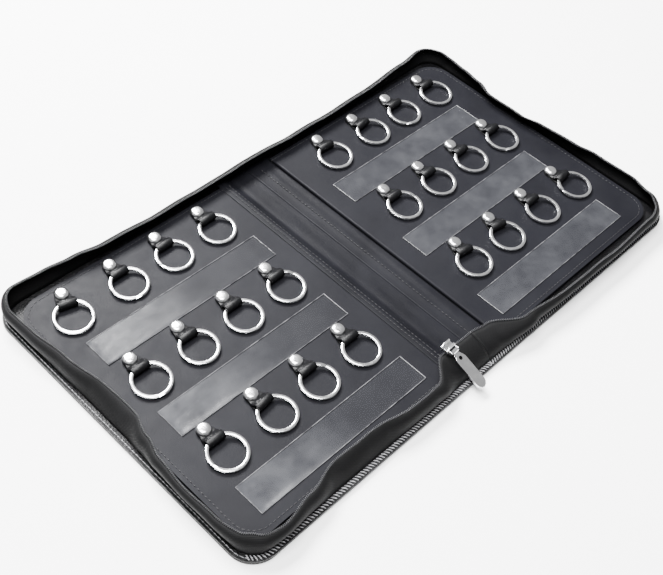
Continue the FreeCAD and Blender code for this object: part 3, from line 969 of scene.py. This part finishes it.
def lathe(name, profile, centre, steps):
    """A turned shape about an upright axis."""
    rows = []
    for radius, height in profile:
        row = []
        for step in range(steps):
            angle = 2 * math.pi * step / steps
            row.append((centre[0] + radius * math.cos(angle), centre[1] + radius * math.sin(angle),
                        centre[2] + height))
        rows.append(row)
    return lattice(name, rows, closed=True, sharp=SHARP_TURNED)


def make_rivets(side_name):
    """Twelve domed rivets with a faint ring pressed into each cap."""
    base = PANEL_TOP + 2 * STRAP + RIVET_LIFT
    caps = [lathe("cap", RIVET_PROFILE, (place.x, place.y, base), RIVET_STEPS)
            for place, _ in rivets_of(side_name)]
    rivets = join(f"{side_name}_rivets", caps)
    finish_piece(rivets, NICKEL, body=f"{side_name}_half",
                 replaces=[f"{side_name}_tab_rivets"])


RING_MEAN = 11.2
RING_BAND = 1.0
RING_COIL = 0.5
RING_STEPS = 144
RING_JOG = 34.0
RING_GAP = 8
RING_CLEAR = 0.06
RING_SECTION_STEPS = 12
# Where each ring's split points, in degrees: it moves on from ring to ring.
SPLIT_FIRST = {"left": 120, "right": 100}
SPLIT_STEP = 67
SPLIT_CYCLE = 5


def ring_section():
    """Section of a split ring's flattened wire, as (outward, up) points."""
    spots = []
    for step in range(RING_SECTION_STEPS):
        angle = 2 * math.pi * step / RING_SECTION_STEPS
        out, up = math.cos(angle), math.sin(angle)
        spots.append((RING_BAND * math.copysign(abs(out) ** 0.86, out),
                      RING_COIL * math.copysign(abs(up) ** 0.6, up)))
    return spots


def split_ring_mesh():
    """Two turns of wire side by side, stepping over where one turn becomes the next."""
    section = ring_section()
    rows = []
    total = 2 * 360 - RING_GAP
    for step in range(2 * RING_STEPS + 1):
        degrees = RING_GAP / 2 + total * step / (2 * RING_STEPS)
        share = eased((degrees - 360 + RING_JOG / 2) / RING_JOG)
        height = (share - 0.5) * (2 * RING_COIL + RING_CLEAR)
        angle = math.radians(degrees)
        row = []
        for out, up in section:
            radius = RING_MEAN + out
            row.append((radius * math.cos(angle), radius * math.sin(angle), height + up))
        rows.append(row)
    return tube_lattice("split_ring", rows)


def make_ring(master, node, turn):
    """One split ring, lying as its CAD ring lies, its split turned round by an angle."""
    loop, swivel = joint_mm(f"{node}_swing"), joint_turn(f"{node}_swing")
    low, high = box_mm(node)
    centre = (low + high) / 2
    tilt = math.atan2(loop.z - centre.z, math.hypot(loop.x - centre.x, loop.y - centre.y))
    ring = bpy.data.objects.new(f"{node}_split", master.data.copy())
    bpy.context.scene.collection.objects.link(ring)
    ring.matrix_world = (Matrix.Translation(centre * MM) @ Matrix.Rotation(swivel, 4, "Z")
                         @ Matrix.Rotation(tilt, 4, "X") @ Matrix.Rotation(turn, 4, "Z"))
    finish_piece(ring, NICKEL, body=node, replaces=[node])


def make_rings():
    """Twenty-four split rings."""
    master = split_ring_mesh()
    for side_name in SIDES:
        for row in range(ROWS):
            for column in range(COLUMNS):
                step = (row * COLUMNS + column) % SPLIT_CYCLE
                turn = math.radians(SPLIT_FIRST[side_name] + SPLIT_STEP * step)
                make_ring(master, f"ring_{side_name}_row{row + 1}_col{column + 1}", turn)
    bpy.data.objects.remove(master)


WINDOW_STEP = 1.6
WINDOW_LONG = 130
WINDOW_TALL = 20.5
FILM_SKIN = 0.22
FILM_CLEAR = 0.12


def window_height(across, up, seed):
    """Height of a window's film over the panel: lifted at its open edges, and rippled."""
    lower_edge = math.exp(-up * WINDOW_TALL / 1.6)
    left_edge = math.exp(-across * WINDOW_LONG / 2.5)
    lift = FILM_CLEAR + 0.5 * lower_edge + 0.35 * left_edge
    ripple = noise.noise(Vector((across * 9, up * 1.6, seed))) * 0.22
    crinkle = noise.noise(Vector((across * 40, up * 7, seed + 5))) * 0.3 * math.exp(-across * 9)
    return max(lift + ripple + crinkle + 0.15, FILM_CLEAR)


EDGE_WIRE = 0.24


def make_window_edges(side_name, corners):
    """The thick welded edge round each window, coloured as a painted highlight."""
    rims = []
    for (left, low), (right, high) in corners:
        level = PANEL_TOP + EDGE_WIRE + 0.1
        outline = [(left, low), (right, low), (right, high), (left, high), (left, low)]
        rims += [bent_rod("edge", [(*first, level), (*second, level)], EDGE_WIRE, 8)
                 for first, second in zip(outline, outline[1:])]
    rims = join(f"{side_name}_window_edges", rims)
    # The rods' pale colour is a painted highlight along the clear edge.
    finish_piece(rims, FILM_EDGE_HIGHLIGHT, body=f"{side_name}_half")


def make_windows(side_name):
    """Three clear label windows, one object."""
    low, high = box_mm(f"{side_name}_label_windows")
    length = high.x - low.x
    sheets = []
    spots = sorted({round(place.y, 2) for place, _ in rivets_of(side_name)}, reverse=True)
    pitch = spots[0] - spots[1]
    tall = high.y - low.y - (ROWS - 1) * pitch
    columns, rows = round(length / WINDOW_STEP), round(tall / WINDOW_STEP)
    tops = [high.y - number * pitch for number in range(ROWS)]
    for number, top in enumerate(tops):
        lattice_rows = []
        for row in range(rows + 1):
            up = row / rows
            line = []
            for column in range(columns + 1):
                across = column / columns
                line.append((low.x + across * length, top - tall + up * tall,
                             PANEL_TOP + window_height(across, up, number + low.x)))
            lattice_rows.append(line)
        film = lattice("film", lattice_rows, sharp=SMOOTH)
        sheets.append(thicken(film, FILM_SKIN))
    make_window_edges(side_name, [((low.x, top - tall), (high.x, top)) for top in tops])
    windows = join(f"{side_name}_windows", sheets)
    finish_piece(windows, FILMS[side_name], body=f"{side_name}_half",
                 replaces=[f"{side_name}_label_windows"])


# ---------------- zip slider and pull

def rounded_box(name, low, high, bevel):
    """A block with rounded edges."""
    work = bmesh.new()
    size = Vector(high) - Vector(low)
    centre = (Vector(high) + Vector(low)) / 2
    bmesh.ops.create_cube(work, size=1.0)
    bmesh.ops.scale(work, vec=size * MM, verts=work.verts)
    bmesh.ops.translate(work, vec=centre * MM, verts=work.verts)
    bmesh.ops.bevel(work, geom=work.edges[:], offset=bevel * MM, segments=4, profile=0.5,
                    affect="EDGES")
    mesh = bpy.data.meshes.new(name)
    work.to_mesh(mesh)
    work.free()
    return link_mesh(name, mesh, SHARP_BEVELLED)


def bent_rod(name, path, radius, around=14):
    """A round rod along a path of points."""
    spots = [Vector(spot) for spot in path]
    rows = []
    for index, spot in enumerate(spots):
        before, after = spots[max(index - 1, 0)], spots[min(index + 1, len(spots) - 1)]
        forward = (after - before).normalized()
        beside = Vector((1, 0, 0))
        if abs(forward.dot(beside)) > 0.9:
            beside = Vector((0, 0, 1))
        first = forward.cross(beside).normalized()
        second = forward.cross(first)
        row = []
        for turn in range(around):
            angle = 2 * math.pi * turn / around
            row.append(spot + radius * (first * math.cos(angle) + second * math.sin(angle)))
        rows.append(row)
    return tube_lattice(name, rows)


PLATE = 1.0
PLATE_HIGH = 3.4
SLIDER_HALF = 4.5
OUTER_FACE = 1.8
INNER_FACE = 6.0


def at_pin(obj, slope=0.0):
    """Set a piece drawn about the pull's pin in its place."""
    obj.matrix_world = (Matrix.Translation(PIN * MM) @ Matrix.Rotation(ZIP_TURN, 4, "Z")
                        @ Matrix.Rotation(math.radians(slope), 4, "X"))


def slider_plate(name, front):
    """A plate that narrows towards one end, its corners cut and its edges soft."""
    lower = [(-SLIDER_HALF, -2.3), (-2.6, -PLATE_HIGH), (2.6, -PLATE_HIGH), (SLIDER_HALF, -1.6)]
    plate = slab(name, lower + [(x, -z) for x, z in reversed(lower)], 0, PLATE, 0.45)
    plate.data.transform(Matrix.Rotation(math.pi / 2, 4, "X"))
    plate.data.transform(Matrix.Translation(Vector((0, (front + PLATE) * MM, 0))))
    return plate


def make_slider():
    """The slider's plates, flanges and wedge, and the ears and pin that hold the pull."""
    back = INNER_FACE + PLATE
    parts = [slider_plate("outer_plate", OUTER_FACE), slider_plate("inner_plate", INNER_FACE),
             rounded_box("wedge", (-3.4, OUTER_FACE + 0.5, -0.35), (4.0, back - 0.5, 0.35), 0.15)]
    for side in (-1, 1):
        rod_z = side * (PLATE_HIGH - 0.55)
        for face in (OUTER_FACE + PLATE, INNER_FACE):
            parts.append(bent_rod("flange", [(-2.5, face, rod_z), (2.5, face, rod_z)], 0.45))
        parts.append(rounded_box("ear", (side * 3.0 - 0.5, -0.8, -1.6),
                                 (side * 3.0 + 0.5, OUTER_FACE + 0.4, 1.6), 0.4))
    parts.append(bent_rod("pin", [(-3.2, 0, 0), (3.2, 0, 0)], 0.7))
    slider = join("slider_body", parts)
    at_pin(slider)
    finish_piece(slider, NICKEL, body="zip_slider", replaces=["zip_slider"])


PULL_LENGTH = 27.0
PULL_HALF = 3.75
PULL_SLOPE = 25.0
PULL_THICK = 1.4
EYE_PLACE = 5.2
EYE_RADIUS = 1.3
BARREL_SPOTS = (-2.3, -1.1, 1.1, 2.3)
BARREL_RADIUS = 1.5


def pull_outline():
    """The pull's outline: a narrow neck, round shoulders, a straight blade and a round tip."""
    tip = arc((0, PULL_HALF - PULL_LENGTH), PULL_HALF, 0, -180, 18)
    left = [(-PULL_HALF, -6.0), (-3.5, -4.4), (-2.7, -3.2), (-1.7, -2.4), (-1.6, -0.9)]
    return [(-x, y) for x, y in reversed(left)] + tip + left


def make_pull():
    """A flat pull with a small round hole, and a barrel on the slider's pin."""
    half = PULL_THICK / 2
    blade = slab("blade", pull_outline(), -half, half, 0.4)
    hole = lathe("hole", [(0, -2), (EYE_RADIUS, -2), (EYE_RADIUS, 2), (0, 2)],
                 (0, -EYE_PLACE, 0), 28)
    drill = blade.modifiers.new("hole", "BOOLEAN")
    drill.object = hole
    drill.operation = "DIFFERENCE"
    apply_modifiers(blade)
    bpy.data.objects.remove(hole)
    barrel = bent_rod("barrel", [(x, 0, 0) for x in BARREL_SPOTS], BARREL_RADIUS, 20)
    pull = join("pull_tab", [blade, barrel])
    at_pin(pull, PULL_SLOPE)
    finish_piece(pull, NICKEL, body="zip_pull", replaces=["zip_pull"])


# ---------------- stage, light and camera

TARGET = (-34.4, -8.5, 9.0)
DISTANCE = 658.5
AZIMUTH = -52.648
ELEVATION = 49.035
ROLL = 9.239
LENS = 58.55
SENSOR_WIDTH = 36
CLIP_NEAR = 0.01
FLOOR_REACH = 6.0
FLOOR_HIGH = -0.05
SKY_STRENGTH = 0.55
MAIN_POWER = 170
OVERHEAD_POWER = 110


def make_camera():
    """The camera, at the photograph's angle."""
    turn, lift, roll = (math.radians(angle) for angle in (AZIMUTH, ELEVATION, ROLL))
    back = Vector((math.sin(turn) * math.cos(lift), -math.cos(turn) * math.cos(lift),
                   math.sin(lift)))
    right = Vector((math.cos(turn), math.sin(turn), 0))
    up = back.cross(right)
    level_right = right * math.cos(roll) + up * math.sin(roll)
    level_up = up * math.cos(roll) - right * math.sin(roll)
    camera = bpy.data.objects.new("camera", bpy.data.cameras.new("camera"))
    bpy.context.scene.collection.objects.link(camera)
    camera.data.lens = LENS
    camera.data.sensor_width = SENSOR_WIDTH
    camera.data.clip_start = CLIP_NEAR
    axes = Matrix((level_right, level_up, back)).transposed().to_4x4()
    camera.matrix_world = Matrix.Translation((Vector(TARGET) + back * DISTANCE) * MM) @ axes
    bpy.context.scene.camera = camera


def area_light(name, place, aim, size, power):
    """A soft rectangular light."""
    light = bpy.data.lights.new(name, "AREA")
    light.shape = "RECTANGLE"
    light.size, light.size_y = size
    light.energy = power
    obj = bpy.data.objects.new(name, light)
    bpy.context.scene.collection.objects.link(obj)
    direction = Vector(aim) - Vector(place)
    obj.matrix_world = (Matrix.Translation(Vector(place))
                        @ direction.to_track_quat("-Z", "Y").to_matrix().to_4x4())


def make_stage():
    """A plain pale floor under soft light."""
    far = FLOOR_REACH / MM
    corners = [(x, y, FLOOR_HIGH) for x, y in ((-far, -far), (far, -far), (far, far), (-far, far))]
    floor = piece("floor", corners, [(0, 1, 2, 3)])
    paper = Surface("floor_paper", Specular_IOR_Level=0.2)
    tone = paper.noise(3, 2)
    paper.tint(tone, (0.3, (0.90, 0.90, 0.90)), (0.8, (0.93, 0.93, 0.93)))
    paper.rough(tone, 0.8, 0.9)
    floor.data.materials.append(paper.material)
    world = bpy.data.worlds.new("studio")
    bpy.context.scene.world = world
    world.use_nodes = True
    sky = world.node_tree.nodes["Background"]
    sky.inputs["Color"].default_value = (1.0, 1.0, 1.0, 1)
    sky.inputs["Strength"].default_value = SKY_STRENGTH
    area_light("main", (0.15, 1.0, 1.15), (-0.02, 0.0, 0.0), (0.8, 0.5), MAIN_POWER)
    area_light("overhead", (-0.35, 0.05, 1.6), (-0.02, 0.0, 0.0), (1.1, 0.9), OVERHEAD_POWER)


# ---------------- build

make_camera()
make_stage()
for page in SIDES:
    make_cover(page)
    make_edge_stitches(page)
    make_outer_stitches(page)
    sections = make_gusset(page)
    make_coil(page, sections)
    make_panel(page)
    make_panel_edge(page)
    make_lining(page)
    make_lining_stitches(page)
    make_tabs(page)
    make_rivets(page)
    make_windows(page)
make_rings()
make_slider()
make_pull()
